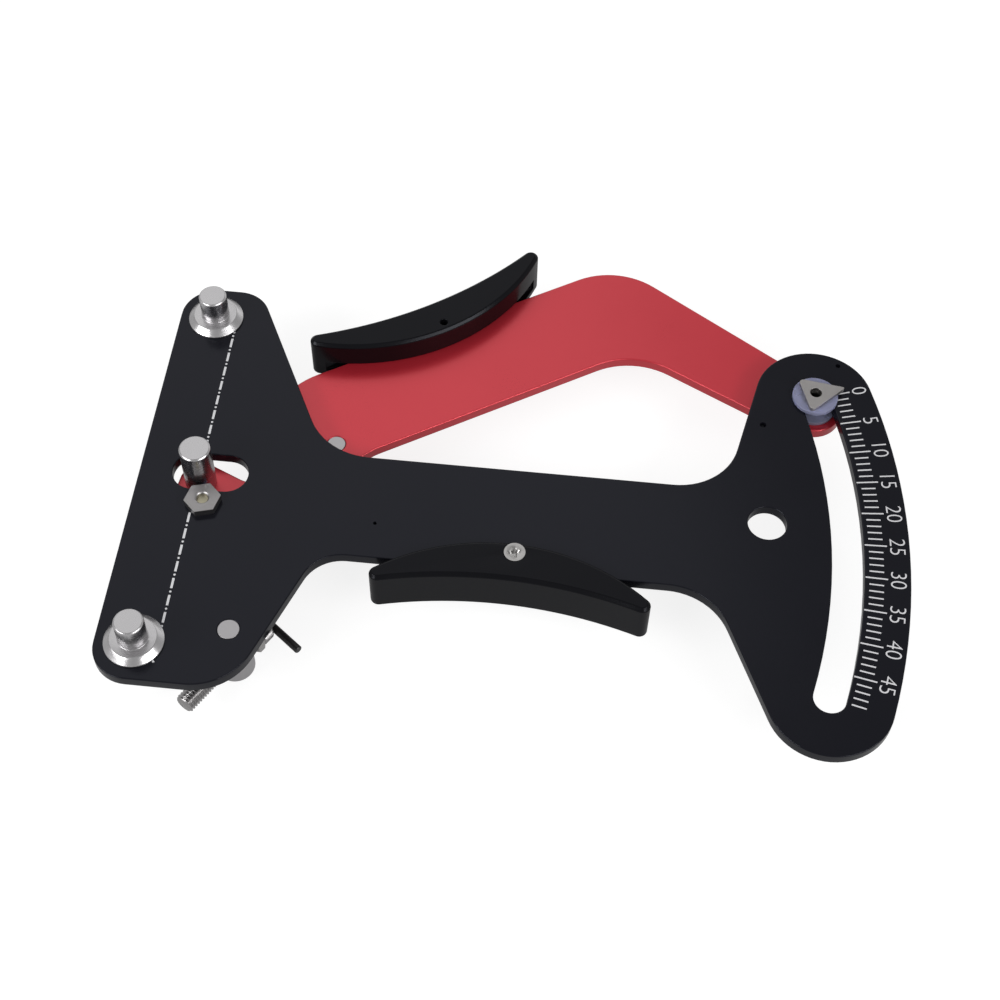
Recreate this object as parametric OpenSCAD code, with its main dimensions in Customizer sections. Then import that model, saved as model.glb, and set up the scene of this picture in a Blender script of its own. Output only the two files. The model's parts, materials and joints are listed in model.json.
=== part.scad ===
// Spoke tension meter: two crossed plates on one pivot. Two fixed posts on the body plate
// and a sprung post on the lever bend a spoke between them, and a pointer on the lever's
// far end shows on the fan's scale how far it gives.
//
// The origin is on the axis of a spoke lying against the fixed posts, midway between them.
// Y runs along that spoke, X towards the scale and Z out of the face that carries the posts.

/* [Spoke and posts] */
// Diameter of the spoke that rests on the fixed posts
spoke_d = 2; // [1.6:0.1:2.6]
// Distance between the two fixed posts
post_spacing = 100; // [90:1:110]
// Diameter of the fixed posts
fixed_post_d = 7.2; // [5:0.2:8]
// Height of the fixed posts above the body plate
fixed_post_h = 9; // [7:0.5:12]
// Diameter of the conical flange under each fixed post
flange_d = 14.4; // [13:0.2:17]
// Height of that flange
flange_h = 2; // [1.5:0.1:3]
// Width of the flange's conical edge
flange_cone = 1.6; // [0.8:0.1:2]
// Diameter of the moving post
moving_post_d = 7.8; // [6:0.2:8.2]
// Height of the moving post above the body plate
moving_post_h = 10; // [7:0.5:13]
// Diameter of the riveted ends of the posts
rivet_d = 5.2; // [4:0.2:5.6]

/* [Body plate] */
// Thickness of the body plate
plate_t = 3; // [2:0.25:4]
// Distance of the pivot from the spoke's axis
pivot_x = 3.6; // [3:0.1:5]
// Distance of the pivot below the middle of the fixed posts
pivot_drop = 9.2; // [9:0.1:10.5]
// Distance from the fixed posts to the head's long edge
head_side = 9.5; // [8.5:0.25:12]
// Distance from the fixed posts to the head's ends
head_end = 10; // [8.5:0.25:12]
// Width of the head at its upper end
head_top_w = 20; // [19.5:0.5:24]
// Width of the head at its lower end
head_bottom_w = 33.4; // [32:0.2:36]
// Width of the neck
neck_w = 29.8; // [26:0.2:34]
// Distance of the neck's upper edge above the pivot
neck_rise = 18.2; // [17:0.2:20]
// Distance from the pivot to the head's upper shoulder
shoulder_upper = 27.4; // [25:0.2:30]
// Distance from the pivot to the head's lower shoulder
shoulder_lower = 30.3; // [28:0.1:33]
// Distance from the pointer's path back to the upper root of the fan
fan_depth_upper = 30.3; // [28:0.1:34]
// Distance from the pointer's path back to the lower root of the fan
fan_depth_lower = 32.7; // [30:0.1:36]
// Distance from the middle of the slot to the fan's edge
fan_margin = 15.1; // [14:0.1:17]
// Radius of the head's corners
head_corner_r = 9; // [5:0.5:9.5]
// Radius of the head's heel, at its lower end
head_heel_r = 15; // [10:0.5:16]
// Radius where the head runs into the neck's lower edge
shoulder_lower_r = 10; // [5:0.5:14]
// Radius where the head runs into the neck's upper edge
shoulder_upper_r = 18; // [10:0.5:22]
// Radius where the neck runs into the fan
fan_root_r = 16; // [10:0.5:18]
// Length of the window for the moving post
window_l = 19; // [18:0.25:19.5]
// Width of the window
window_w = 11; // [10.25:0.25:11.5]
// Diameter of the hanging hole
hang_d = 9.6; // [6:0.2:12]
// Distance from the pointer's path back to the hanging hole, along the neck
hang_depth = 19.7; // [17:0.1:26]
// Height of the hanging hole above the pivot
hang_y = 9; // [5:0.5:14]

/* [Scale] */
// Radius of the pointer's path about the pivot
slot_r = 158.3; // [155:0.1:162]
// Width of the curved slot
slot_w = 7.8; // [7.6:0.1:8.6]
// Angle of the pointer at rest, above the X direction
scale_start = 18.3; // [17.5:0.1:19]
// Angle through which the lever turns
lever_travel = 32.3; // [25:0.1:33]

/* [Lever] */
// Thickness of the lever
lever_t = 3; // [2:0.25:4]
// Width of the lever's long leg
lever_w = 29; // [27:0.2:31]
// Direction of the long leg
lever_a = 32; // [31:0.25:33]
// Distance of the long leg's outer edge from the pivot
lever_edge = 28.5; // [27.5:0.25:29.5]
// Distance along the leg from the pivot to its outer shoulder
leg_outer_start = 29.1; // [28:0.1:31]
// Distance along the leg from the pivot to its inner shoulder
leg_inner_start = 45.6; // [44:0.1:48]
// Distance along the leg from the pivot to the elbow's outer corner
elbow_outer = 132; // [130:0.2:134]
// Distance along the leg from the pivot to the elbow's inner corner
elbow_inner = 121; // [118:0.2:123]
// Distance from the pointer's screw back to the shoulder of the lever's tip
tip_shoulder_back = 12; // [11:0.1:13]
// Distance from the pointer's screw down to that shoulder
tip_shoulder_drop = 4.4; // [4:0.1:5]
// Distance from the pivot to the notch beside the moving post, along X
notch_x = 12; // [11:0.1:12.5]
// Distance from the pivot to that notch, along Y
notch_y = 8.5; // [8.2:0.1:9]
// Radius of the lever's lobe round the pivot
pivot_lobe_r = 9.5; // [8.5:0.25:10]
// Radius of the lever's lobe round the moving post
post_lobe_r = 5.7; // [5.2:0.1:6]
// Radius of the lever's tip, round the pointer's screw
tip_lobe_r = 7.6; // [6.5:0.1:8]
// Radius of the leg's inner shoulder
leg_inner_r = 12; // [6:1:20]
// Radius of the leg's outer shoulder
leg_outer_r = 22; // [10:1:24]
// Radius of the elbow, inside and outside
elbow_r = 19; // [12:0.5:24]
// Radius of the tip's shoulder
tip_shoulder_r = 10; // [6:1:14]
// Radius of the notch beside the moving post
notch_r = 3; // [2:0.25:4]
// Distance from the pivot to the moving post
moving_post_r = 9.3; // [9.2:0.05:9.5]
// Direction of the moving post from the pivot, at rest
moving_post_a = 107; // [105:0.5:109]

/* [Pivot] */
// Diameter of the pivot sleeve's barrel
barrel_d = 6; // [5.25:0.25:6.25]
// Width across the flats of its hexagon head
hex_af = 8; // [7:0.25:8.5]
// Thickness of the hexagon head
hex_h = 2; // [1.5:0.25:3]
// Direction of one of the head's corners
hex_a = 16; // [0:1:59]
// Diameter of the pivot screw
pivot_screw_d = 4; // [3:0.25:4.25]
// Diameter of the tapped hole past the end of the pivot screw
pivot_tap_d = 2.9; // [2.4:0.1:3.8]
// Depth of the pivot screw's end below the top of the head
pivot_recess = 1.2; // [0.8:0.1:1.5]
// Diameter of the pivot screw's own head
pivot_head_d = 8; // [7:0.25:9]
// Height of that head
pivot_head_h = 2.3; // [1.8:0.1:3]
// Width across the flats of its hexagon socket
pivot_socket_af = 2.5; // [2:0.1:3]
// Thickness of the plastic washers between the plates
washer_t = 1; // [0.5:0.1:1.5]
// Diameter of the washer between the plates at the pivot
pivot_washer_d = 10; // [9:0.25:10.5]
// Thickness of the thrust washer under the lever
thrust_t = 0.5; // [0.3:0.05:0.8]
// Diameter of the spring hub inside the coil
hub_d = 11; // [10:0.1:11.4]
// Diameter of the flange under the coil
hub_flange_d = 18; // [16.5:0.25:20]
// Thickness of that flange
hub_flange_t = 1.5; // [1:0.25:2.5]
// Thickness of the washer under the pivot screw's head
screw_washer_t = 0.8; // [0.5:0.1:1.2]

/* [Spring] */
// Diameter of the spring's wire
wire_d = 2; // [1.6:0.05:2]
// Mean radius of the coil
coil_r = 7.4; // [7.4:0.05:7.8]
// Rise of the coil for each turn
coil_pitch = 3.2; // [2.6:0.05:3.4]
// Whole turns of the coil, beside the part turn between its legs
coil_turns = 1; // [1:1:2]
// Direction of the leg that bears on the calibration screw
body_leg_a = -38.5; // [-41:0.5:-36]
// Length of that leg
body_leg_l = 41.8; // [39:0.2:44]
// Length of the lever's leg beyond its post
lever_leg_over = 4.5; // [4:0.25:7]
// Distance from the pivot to the lever's spring post
lever_post_r = 38; // [36.5:0.25:39]
// Direction of that post from the pivot
lever_post_a = 40; // [39:0.25:41]
// Diameter of the lever's spring post
lever_post_d = 6; // [5:0.25:7]
// Diameter of the collar at that post's end
lever_collar_d = 8; // [7.5:0.25:9]
// Thickness of that collar
lever_collar_t = 1.2; // [0.8:0.1:2]
// Diameter of the riveted end of that post
lever_rivet_d = 4.6; // [4:0.2:4.8]

/* [Calibration] */
// Distance of the anchor post from the pivot along X
anchor_x = 13; // [12:0.25:14]
// Distance of the anchor post below the pivot
anchor_drop = 35.2; // [34:0.2:36]
// Diameter of the anchor post
anchor_d = 9.4; // [8:0.2:10]
// Length of the anchor post below the body plate
anchor_l = 14; // [14:0.5:16]
// Direction of the calibration screw
cal_a = 59; // [56:0.5:61]
// Diameter of the calibration screw
cal_d = 5; // [4:0.25:5.25]
// Diameter of its knurled head
cal_head_d = 8.2; // [7.5:0.1:8.8]
// Length of the calibration screw behind the anchor post's axis
cal_tail = 17.5; // [12:0.5:20]
// Height of the calibration screw's axis above the axis of the leg it bears on
cal_rise = 1.4; // [0.5:0.1:2]
// Width across the flats of its hexagon socket
socket_af = 4; // [3:0.25:4.25]
// Depth of that socket
socket_depth = 1.8; // [1.2:0.1:2]
// Thickness of the lock nut
nut_t = 2.2; // [1.8:0.1:2.6]
// Width across the flats of the lock nut
nut_af = 8; // [7:0.25:8.5]

/* [Pointer] */
// Length of the pointer from its screw to its point
pointer_l = 8; // [7:0.1:8.5]
// Distance from its screw to the pointer's other corners
pointer_back = 6.3; // [5.5:0.1:7]
// Direction of these corners from the point
pointer_spread = 119; // [112:1:126]
// Radius of the pointer's point
point_r = 0.3; // [0.2:0.05:0.6]
// Radius of the pointer's other corners
pointer_corner_r = 1; // [0.5:0.1:1.5]
// Thickness of the pointer
pointer_t = 1.2; // [0.8:0.1:2]
// Diameter of the pointer's screw
pointer_screw_d = 3; // [2.5:0.25:3.5]
// Depth of that screw's end below the top of the pointer
pointer_recess = 0.5; // [0.2:0.1:0.6]
// Diameter of the head of that screw
pointer_head_d = 5.6; // [5:0.2:6.4]
// Height of the head of that screw
pointer_head_h = 1.8; // [1.4:0.1:2.5]
// Diameter of the washers at the slot
slot_washer_d = 11.7; // [11:0.1:12.5]
// Play of the sleeve in the slot, on each side
sleeve_play = 0.3; // [0.2:0.05:0.4]

/* [Grips] */
// Thickness of a grip at its middle
grip_w = 10.6; // [10:0.1:11.5]
// Radius of a grip's inner, bulging side
grip_bulge_r = 53.5; // [51:0.5:56]
// Radius of a grip's outer, hollow side
grip_hollow_r = 115; // [106:1:125]
// Radius of a grip's tips
grip_tip_r = 2; // [1.6:0.05:2.3]
// How far a grip's bulge reaches over the edge it sits on
grip_reach = 6.5; // [6.2:0.05:7]
// Thickness of a grip's lip on the side of the screw's head
grip_thin = 2.5; // [2:0.1:3]
// Thickness of a grip's other lip
grip_thick = 7; // [6.5:0.25:8]
// Chamfer round both faces of a grip
grip_chamfer = 0.8; // [0.4:0.1:1]
// Solid length at each end of a grip's slot
grip_slot_end = 2.5; // [2:0.25:4]
// Angle by which both grips lean outwards at their far ends
grip_lean = 2; // [0:0.5:3]
// Distance from the pivot to the middle of the lower grip, along the neck
grip_lower_x = 73.5; // [70:0.5:78]
// Distance from the pivot to the middle of the upper grip, along the lever
grip_upper_u = 73; // [70:0.5:76]
// Distance of a grip's screw from its bulge
grip_screw_inset = 2.8; // [2.7:0.1:3.3]
// Diameter of the grip screws
grip_screw_d = 3; // [2.5:0.25:3.5]
// Diameter of the countersunk heads of the grip screws
grip_head_d = 5.3; // [5:0.1:5.6]
// Length of the grip screws
grip_screw_l = 9.5; // [8:0.25:10]
// Diameter of the pilot hole past the end of a grip screw
pilot_d = 2; // [1:0.25:2.25]

/* [Fits] */
// Radial clearance of what turns or slides
run_fit = 0.05; // [0.02:0.01:0.09]
// Radial clearance of what is riveted, screwed or pressed in
seat_fit = 0.02; // [0.01:0.01:0.04]
// Play between flat faces that slide on each other
face_play = 0.05; // [0.02:0.01:0.1]
// Gap between the spring and what it bears on
spring_gap = 0.3; // [0.2:0.05:0.4]
// Clearance of the plates in the slots of the grips
grip_fit = 0.1; // [0.05:0.01:0.15]

/* [Hidden] */

$fn = 64;
chord_error = 0.02;  // how far an outline's straight steps may leave its arcs
cut = 0.5;           // how far a cutting body reaches past what it cuts
edge_break = 0.35;   // small chamfer on turned and hexagonal pieces
wire_sides = 6;
rings_per_turn = 8;

black = [0.09, 0.09, 0.10];
red = [0.72, 0.12, 0.14];
steel = [0.72, 0.71, 0.70];
bright = [0.80, 0.80, 0.80];
nylon = [0.80, 0.82, 0.88];

// ---- Vectors, arcs and rounded outlines ----

function heading(a) = [cos(a), sin(a)];
function bearing(v) = atan2(v.y, v.x);
function unit(v) = v / norm(v);
function polar(r, a) = pivot + r * heading(a);

// Angle b, with whole turns added until it comes after angle a
function after(a, b) = b + 360 * ceil((a - b) / 360);

function arc_steps(r, sweep) = max(2, ceil(abs(sweep) / (2 * acos(1 - chord_error / r))));

// Points on a circle from angle a0 to a1, without the last
function arc(c, r, a0, a1) =
    let(n = arc_steps(r, a1 - a0))
    [for (i = [0:n - 1]) c + r * heading(a0 + (a1 - a0) * i / n)];

// The rounded corner at b of an outline that runs from a to b to c
function corner(a, b, c, r) =
    let(
        u = unit(a - b),
        v = unit(c - b),
        half = acos(u * v) / 2,
        middle = b + unit(u + v) * r / sin(half),
        from = b + u * r / tan(half),
        turn = (u.x * v.y - u.y * v.x > 0 ? -1 : 1) * (180 - 2 * half),
        n = arc_steps(r, turn)
    )
    [for (i = [0:n]) middle + r * heading(bearing(from - middle) + turn * i / n)];

// Where a line between p and a circle touches it: side is -1 where an anticlockwise
// outline comes to the circle from p, and 1 where it leaves the circle for p
function touch(p, c, r, side) =
    let(d = c - p, off = asin(r / norm(d)))
    p + norm(d) * cos(off) * heading(bearing(d) + side * off);

// Direction from the centres of two circles to the line that joins them in the same way
function belt(a, ra, b, rb) = bearing(b - a) - acos((ra - rb) / norm(b - a));

// Faces of a solid skinned over closed rings of n points, given in order, each of them
// anticlockwise when the next ring is towards the viewer. Strips across the first and last
// ring close the ends: each of them is convex, also where the ring is a crescent. n is even.
function skin_faces(n, rings) =
    let(strips = [for (i = [0:n / 2 - 2]) [i, i + 1, n - 2 - i, n - 1 - i]], last = (rings - 1) * n)
    concat(
        strips,
        [
            for (i = [0:rings - 2], k = [0:n - 1])
                let(a = i * n + k, b = i * n + (k + 1) % n)
                each [[a, a + n, b + n], [a, b + n, b]]
        ],
        [for (s = strips) [for (k = [3:-1:0]) last + s[k]]]
    );

// ---- Places in the plane of the plates ----

pivot = [pivot_x, -pivot_drop];
fixed_x = -(spoke_d + fixed_post_d) / 2;
fixed_y = post_spacing / 2;
scale_end = scale_start - lever_travel;
pointer_at = polar(slot_r, scale_start);
slot_end_at = polar(slot_r, scale_end);
moving_at = polar(moving_post_r, moving_post_a);
anchor_at = pivot + [anchor_x, -anchor_drop];
lever_post_at = polar(lever_post_r, lever_post_a);
hang_at = pivot + [slot_r - hang_depth, hang_y];
neck_top = pivot.y + neck_rise;
neck_bottom = neck_top - neck_w;

// A place set out along the lever's long leg and across it, from the pivot
function on_leg(along, across) = pivot + along * heading(lever_a) + across * heading(lever_a + 90);

grip_lower_at = [pivot.x + grip_lower_x, neck_bottom + grip_reach];
grip_upper_at = on_leg(grip_upper_u, lever_edge - grip_reach);

// In its own frame a grip bulges towards +Y up to the origin. It lies along X, with the
// middle of the plate that it holds at z = 0 and its thin lip above. It leans about the
// centre of its hollow side, so that the bottom of its slot stays on the plate's edge.
hollow_y = -grip_w - grip_hollow_r;
screw_seat = [0, hollow_y] + (-hollow_y - grip_screw_inset) * heading(90 - grip_lean);
grip_lower_screw_at = grip_lower_at + screw_seat;
grip_upper_screw_at =
    on_leg(grip_upper_u + screw_seat.x, lever_edge - grip_reach - screw_seat.y);

// ---- The spring's legs, each a tangent of the coil ----

// The lever's leg passes its post on the side to which the lever is squeezed
post_offset = coil_r + wire_d / 2 + spring_gap + lever_post_d / 2;
lever_leg_a = lever_post_a - asin(post_offset / lever_post_r);
lever_leg_l = sqrt(pow(lever_post_r, 2) - pow(post_offset, 2)) + lever_leg_over;
coil_start = lever_leg_a + 90;
coil_sweep = 360 * coil_turns + body_leg_a + 270 - coil_start;

// How far past the anchor post's axis the calibration screw ends, with the rim of its head
// just short of the leg. The head takes up what the lock nut leaves free.
cal_slant = cal_a - body_leg_a - 90;
cal_reach = ((anchor_at - pivot) * heading(body_leg_a - 90) - coil_r - wire_d / 2 - spring_gap
    - cal_head_d / 2 * abs(sin(cal_slant))) / cos(cal_slant);
cal_head_h = cal_reach - anchor_d / 2 - nut_t - 2 * face_play;

// ---- Heights, from the spoke's axis down through the stack on the pivot ----

plate_top = -(flange_h + spoke_d / 2);
hex_top = plate_top + hex_h;
plate_bottom = plate_top - plate_t;
lever_top = plate_bottom - washer_t - 2 * face_play;
lever_bottom = lever_top - lever_t;
thrust_bottom = lever_bottom - face_play - thrust_t;
lever_leg_z = lever_bottom - spring_gap - wire_d / 2;
body_leg_z = lever_leg_z - coil_pitch * coil_sweep / 360;
flange_top_z = body_leg_z - wire_d / 2 - spring_gap;
hub_bottom = flange_top_z - hub_flange_t;
screw_washer_bottom = hub_bottom - screw_washer_t;
cal_z = body_leg_z + cal_rise;
upper_washer_z = plate_top + face_play;
pointer_z = upper_washer_z + washer_t;

// ---- Outline of the body plate, anticlockwise ----

head_left = fixed_x - head_side;
head_low = -fixed_y - head_end;
head_high = fixed_y + head_end;
low_left = [head_left, head_low];
low_right = [head_left + head_bottom_w, head_low];
low_shoulder = [pivot.x + shoulder_lower, neck_bottom];
low_root = [pivot.x + slot_r - fan_depth_lower, neck_bottom];
high_root = [pivot.x + slot_r - fan_depth_upper, neck_top];
high_shoulder = [pivot.x + shoulder_upper, neck_top];
high_right = [head_left + head_top_w, head_high];
high_left = [head_left, head_high];
fan_low = touch(low_root, slot_end_at, fan_margin, -1);
fan_high = touch(high_root, pointer_at, fan_margin, 1);

plate_outline = concat(
    corner(high_left, low_left, low_right, head_corner_r),
    corner(low_left, low_right, low_shoulder, head_heel_r),
    corner(low_right, low_shoulder, low_root, shoulder_lower_r),
    corner(low_shoulder, low_root, fan_low, fan_root_r),
    arc(slot_end_at, fan_margin, bearing(fan_low - slot_end_at), scale_end),
    arc(pivot, slot_r + fan_margin, scale_end, scale_start),
    arc(pointer_at, fan_margin, scale_start, bearing(fan_high - pointer_at)),
    [fan_high],
    corner(fan_high, high_root, high_shoulder, fan_root_r),
    corner(high_root, high_shoulder, high_right, shoulder_upper_r),
    corner(high_shoulder, high_right, high_left, head_corner_r),
    corner(high_right, high_left, low_left, head_corner_r)
);

// ---- Outline of the lever, anticlockwise from its pivot lobe ----

leg_inner = on_leg(leg_inner_start, lever_edge - lever_w);
leg_outer = on_leg(leg_outer_start, lever_edge);
elbow_in = on_leg(elbow_inner, lever_edge - lever_w);
elbow_out = on_leg(elbow_outer, lever_edge);
tip_shoulder = pointer_at - [tip_shoulder_back, tip_shoulder_drop];
notch = pivot + [notch_x, notch_y];
pivot_exit = touch(leg_inner, pivot, pivot_lobe_r, 1);
tip_entry = touch(tip_shoulder, pointer_at, tip_lobe_r, -1);
tip_exit = touch(elbow_out, pointer_at, tip_lobe_r, 1);
post_entry = touch(notch, moving_at, post_lobe_r, -1);
lobes = belt(moving_at, post_lobe_r, pivot, pivot_lobe_r) + 360;

lever_outline = concat(
    [pivot_exit],
    corner(pivot_exit, leg_inner, elbow_in, leg_inner_r),
    corner(leg_inner, elbow_in, tip_shoulder, elbow_r),
    corner(elbow_in, tip_shoulder, tip_entry, tip_shoulder_r),
    arc(pointer_at, tip_lobe_r, bearing(tip_entry - pointer_at), bearing(tip_exit - pointer_at)),
    [tip_exit],
    corner(tip_exit, elbow_out, leg_outer, elbow_r),
    corner(elbow_out, leg_outer, notch, leg_outer_r),
    corner(leg_outer, notch, post_entry, notch_r),
    arc(moving_at, post_lobe_r, bearing(post_entry - moving_at), lobes),
    arc(pivot, pivot_lobe_r, lobes, after(lobes, bearing(pivot_exit - pivot)))
);

// ---- Shared shapes ----

module at(place, z = 0) translate([place.x, place.y, z]) children();

module slab(outline, z0, z1) translate([0, 0, z0]) linear_extrude(z1 - z0) polygon(outline);

module hole(place, d, z0, z1) at(place, z0 - cut) cylinder(d = d, h = z1 - z0 + 2 * cut);

// The 45 degree mouth of a hole of diameter d, in a face at z, facing up
module mouth(place, d, depth, z)
    at(place, z - depth - cut)
        cylinder(d1 = d - 2 * cut, d2 = d + 2 * depth + 2 * cut, h = depth + 2 * cut);

module ring(place, d, bore, z0, z1) difference() {
    at(place, z0) cylinder(d = d, h = z1 - z0);
    hole(place, bore, z0, z1);
}

// A hexagonal prism with its corners broken at both faces
module hexagon(af, h) {
    corner_r = af / 2 / cos(30);
    r0 = corner_r - 2 * edge_break;
    r1 = corner_r + cut;
    slope = (r1 - r0) / 2;
    intersection() {
        cylinder(r = corner_r, h = h, $fn = 6);
        rotate_extrude() polygon([[0, 0], [r0, 0], [r1, slope], [r1, h - slope], [r0, h], [0, h]]);
    }
}

module hex_socket(af, depth)
    translate([0, 0, -cut]) cylinder(r = af / 2 / cos(30), h = depth + cut, $fn = 6);

// A screw from its head's top at z = 0 upwards: head, shank and chamfered end
module cap_screw(d, l, head_d, head_h) rotate_extrude() polygon([
    [0, 0], [head_d / 2 - 2 * edge_break, 0], [head_d / 2, 2 * edge_break],
    [head_d / 2, head_h], [d / 2, head_h], [d / 2, head_h + l - edge_break],
    [d / 2 - edge_break, head_h + l], [0, head_h + l]
]);

// ---- The two plates ----

module curved_slot() {
    at(pivot, plate_bottom - cut) rotate(scale_end) rotate_extrude(angle = lever_travel)
        translate([slot_r - slot_w / 2, 0]) square([slot_w, plate_t + 2 * cut]);
    hole(pointer_at, slot_w, plate_bottom, plate_top);
    hole(slot_end_at, slot_w, plate_bottom, plate_top);
}

module window() {
    middle = pivot + [0, moving_post_r];
    reach = (window_l - window_w) / 2;
    for (side = [-1, 1])
        hole(middle + [side * reach, 0], window_w, plate_bottom, plate_top);
    at(middle - [reach, window_w / 2], plate_bottom - cut)
        cube([2 * reach, window_w, plate_t + 2 * cut]);
}

module body_plate() color(black) difference() {
    slab(plate_outline, plate_bottom, plate_top);
    curved_slot();
    window();
    hole(pivot, barrel_d + 2 * seat_fit, plate_bottom, plate_top);
    hole(hang_at, hang_d, plate_bottom, plate_top);
    for (side = [-1, 1])
        hole([fixed_x, side * fixed_y], rivet_d + 2 * seat_fit, plate_bottom, plate_top);
    hole(anchor_at, rivet_d + 2 * seat_fit, plate_bottom, plate_top);
    hole(grip_lower_screw_at, grip_screw_d + 2 * seat_fit, plate_bottom, plate_top);
}

module lever_arm() color(red) difference() {
    slab(lever_outline, lever_bottom, lever_top);
    hole(pivot, barrel_d + 2 * run_fit, lever_bottom, lever_top);
    hole(moving_at, rivet_d + 2 * seat_fit, lever_bottom, lever_top);
    hole(lever_post_at, lever_rivet_d + 2 * seat_fit, lever_bottom, lever_top);
    hole(pointer_at, pointer_screw_d + 2 * seat_fit, lever_bottom, lever_top);
    hole(grip_upper_screw_at, grip_screw_d + 2 * seat_fit, lever_bottom, lever_top);
}

// ---- The turned posts, each riveted flush in its plate ----

module fixed_post(side) color(steel) at([fixed_x, side * fixed_y], plate_top) {
    stem = fixed_post_d / 2;
    rim = 0.5;
    rotate_extrude() polygon([
        [0, -plate_t], [rivet_d / 2, -plate_t], [rivet_d / 2, 0],
        [flange_d / 2, 0], [flange_d / 2, rim], [flange_d / 2 - flange_cone, flange_h],
        [stem, flange_h], [stem, fixed_post_h - edge_break],
        [stem - edge_break, fixed_post_h], [0, fixed_post_h]
    ]);
}

module fixed_post_upper() fixed_post(1);

module fixed_post_lower() fixed_post(-1);

module moving_post() color(steel) at(moving_at) {
    top = plate_top + moving_post_h;
    r = moving_post_d / 2;
    rotate_extrude() polygon([
        [0, lever_bottom], [rivet_d / 2, lever_bottom], [rivet_d / 2, lever_top],
        [r, lever_top], [r, top - edge_break], [r - edge_break, top], [0, top]
    ]);
}

// ---- The pivot, from its hexagon head down ----

module pivot_sleeve() color(steel) difference() {
    union() {
        at(pivot, plate_top) rotate(hex_a) cylinder(r = hex_af / 2 / cos(30), h = hex_h, $fn = 6);
        at(pivot, hub_bottom) cylinder(d = barrel_d, h = plate_top - hub_bottom);
    }
    at(pivot, hub_bottom - cut)
        cylinder(d = pivot_screw_d + 2 * seat_fit, h = hex_top - pivot_recess - hub_bottom + cut);
    hole(pivot, pivot_tap_d, hub_bottom, hex_top);
    mouth(pivot, pivot_tap_d, edge_break, hex_top);
}

module pivot_washer() color(nylon)
    ring(pivot, pivot_washer_d, barrel_d + 2 * run_fit,
        lever_top + face_play, lever_top + face_play + washer_t);

module thrust_washer() color(nylon)
    ring(pivot, hub_d, barrel_d + 2 * run_fit, thrust_bottom, thrust_bottom + thrust_t);

module spring_hub() color(steel) difference() {
    union() {
        at(pivot, hub_bottom) cylinder(d = hub_d, h = thrust_bottom - hub_bottom);
        at(pivot, hub_bottom) cylinder(d = hub_flange_d, h = hub_flange_t);
    }
    hole(pivot, barrel_d + 2 * seat_fit, hub_bottom, thrust_bottom);
}

module pivot_screw_washer() color(bright)
    ring(pivot, hub_d, pivot_screw_d + 2 * seat_fit, screw_washer_bottom, hub_bottom);

module pivot_screw() color(bright) at(pivot, screw_washer_bottom - pivot_head_h) difference() {
    cap_screw(pivot_screw_d, hex_top - pivot_recess - screw_washer_bottom,
        pivot_head_d, pivot_head_h);
    hex_socket(pivot_socket_af, pivot_head_h * 0.7);
}

// ---- The torsion spring: one wire from the lever's leg, down the coil, to the body's leg ----

coil_steps = round(coil_sweep / 360 * rings_per_turn);
coil_path = [
    for (i = [0:coil_steps])
        [
            each polar(coil_r, coil_start + coil_sweep * i / coil_steps),
            lever_leg_z + (body_leg_z - lever_leg_z) * i / coil_steps
        ]
];
lever_leg = [each heading(lever_leg_a), 0];
body_leg = [each heading(body_leg_a), 0];
spring_path = concat(
    [for (l = [lever_leg_l, lever_leg_l / 2, wire_d]) coil_path[0] + l * lever_leg],
    coil_path,
    [for (l = [wire_d, body_leg_l / 2, body_leg_l]) coil_path[coil_steps] + l * body_leg]
);
path_end = len(spring_path) - 1;

// Direction of the wire at a point of its path, halfway between the steps that meet there
function along_wire(i) =
    unit((i > 0 ? unit(spring_path[i] - spring_path[i - 1]) : [0, 0, 0])
        + (i < path_end ? unit(spring_path[i + 1] - spring_path[i]) : [0, 0, 0]));

function wire_ring(i) =
    let(t = along_wire(i), side = unit([-t.y, t.x, 0]), up = cross(t, side))
    [
        for (k = [0:wire_sides - 1])
            let(a = 360 * k / wire_sides)
            spring_path[i] + wire_d / 2 * (cos(a) * side + sin(a) * up)
    ];

module torsion_spring() color(black)
    polyhedron([for (i = [0:path_end]) each wire_ring(i)], skin_faces(wire_sides, path_end + 1));

// Distance from a point to the straight step from a to b
function to_step(p, a, b) =
    let(s = (p - a) * (b - a) / ((b - a) * (b - a)))
    norm(a + min(1, max(0, s)) * (b - a) - p);

self_gap = min([
    for (i = [0:path_end], j = [i + rings_per_turn / 2:path_end - 1])
        to_step(spring_path[i], spring_path[j], spring_path[j + 1])
]) - wire_d;
echo(str("Least gap of the spring to itself: ", self_gap, " mm"));

// ---- What the spring's two legs bear on ----

module spring_anchor_post() color(steel) difference() {
    end = plate_bottom - anchor_l;
    r = anchor_d / 2;
    at(anchor_at) rotate_extrude() polygon([
        [0, plate_top], [rivet_d / 2, plate_top], [rivet_d / 2, plate_bottom],
        [r, plate_bottom], [r, end + edge_break], [r - edge_break, end], [0, end]
    ]);
    on_cal_axis(-anchor_d) cylinder(d = cal_d + 2 * run_fit, h = 2 * anchor_d);
}

// A place on the calibration screw's axis, with Z along it, from the anchor post's axis
module on_cal_axis(along)
    at(anchor_at, cal_z) rotate([0, 90, cal_a]) translate([0, 0, along]) children();

// Its tail is chamfered, and its head bears on the spring's leg
module calibration_screw() color(bright) on_cal_axis(cal_reach) mirror([0, 0, 1]) difference() {
    cap_screw(cal_d, cal_tail + cal_reach - cal_head_h, cal_head_d, cal_head_h);
    hex_socket(socket_af, socket_depth);
}

module lock_nut() color(bright) on_cal_axis(anchor_d / 2 + face_play) difference() {
    hexagon(nut_af, nut_t);
    translate([0, 0, -cut]) cylinder(d = cal_d + 2 * run_fit, h = nut_t + 2 * cut);
}

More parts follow.
